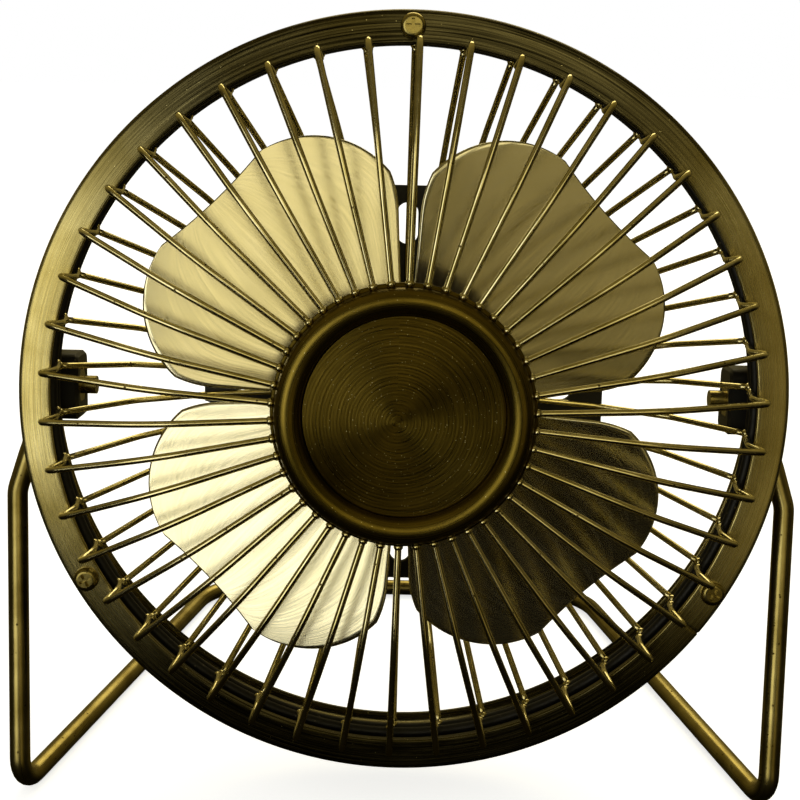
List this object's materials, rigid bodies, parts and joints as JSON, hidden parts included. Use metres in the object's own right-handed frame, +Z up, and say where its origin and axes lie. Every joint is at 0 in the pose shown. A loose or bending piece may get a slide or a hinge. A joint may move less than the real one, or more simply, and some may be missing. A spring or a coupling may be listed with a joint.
{
  "type": "desk fan",
  "caption": "Small metal desk fan: a round ring with domed wire grilles, a paddle-blade impeller and motor, tilting between the legs of a bent-rod stand.",
  "frame": {"origin": "on the table, in the middle of the whole fan's footprint", "axes": "+Z up; the fan faces -Y at rest, looking up by 5 degrees; +X to the right seen from the front; the tilt axis lies along X"},
  "size_m": [0.157, 0.1185, 0.1528],
  "materials": {
    "ring_enamel": "satin, lightly brushed round the ring",
    "wire_plating": "antique plated, bright on the crowns",
    "cap_metal": "spun, satin",
    "spun_disc": "fine concentric turning marks",
    "blade_metal": "matte rolled sheet",
    "black_steel": "black satin",
    "bright_steel": "zinc plated",
    "stand_rod": "satin",
    "black_plastic": "fine moulded grain",
    "switch_plastic": "gloss",
    "white_plastic": "moulded",
    "rubber": "matte",
    "bronze_bush": "sintered",
    "ferrite": "matte",
    "core_steel": "laminated",
    "copper_wire": "enamelled copper",
    "lead_cover": "smooth"
  },
  "bodies": {
    "stand": {"stand": "stand_rod", "pivot_washers": "rubber"},
    "head": {"housing_ring": "ring_enamel", "front_grille": "wire_plating", "rear_grille": "wire_plating", "hub_cap": "cap_metal", "hub_disc": "spun_disc", "grille_clips": "black_steel", "grille_screws": "bright_steel", "motor_bracket": "black_steel", "motor_can": "bright_steel", "motor_end_cap": "white_plastic", "shaft_bushes": "bronze_bush", "motor_magnets": "ferrite", "brush_tabs": "bronze_bush", "motor_screws": "bright_steel", "motor_cover": "black_plastic", "cover_screws": "bright_steel", "cord_gland": "rubber", "switch_body": "switch_plastic", "switch_tabs": "bronze_bush", "motor_leads": "lead_cover", "pivot_block_left": "black_plastic", "pivot_block_right": "black_plastic", "pivot_nuts": "bright_steel", "pivot_screws": "bright_steel"},
    "rotor": {"motor_shaft": "bright_steel", "armature_core": "core_steel", "armature_coils": "copper_wire", "commutator": "copper_wire", "impeller": "blade_metal", "impeller_hub": "blade_metal", "hub_set_screw": "bright_steel", "hub_rivets": "blade_metal"},
    "rocker": {"switch_rocker": "switch_plastic"}
  },
  "joints": [
    {"name": "head_tilt", "type": "hinge", "parent": "stand", "child": "head", "pos_m": [0, -0.0268, 0.0796], "axis": [1, 0, 0], "continuous": true},
    {"name": "rotor_spin", "type": "hinge", "parent": "head", "child": "rotor", "pos_m": [0, -0.03477, 0.0803], "axis": [0, 0.9962, -0.0872], "continuous": true},
    {"name": "switch_rock", "type": "hinge", "parent": "head", "child": "rocker", "pos_m": [0, 0.01903, 0.07559], "axis": [-1, 0, 0], "range_deg": [0, 20]}
  ]
}
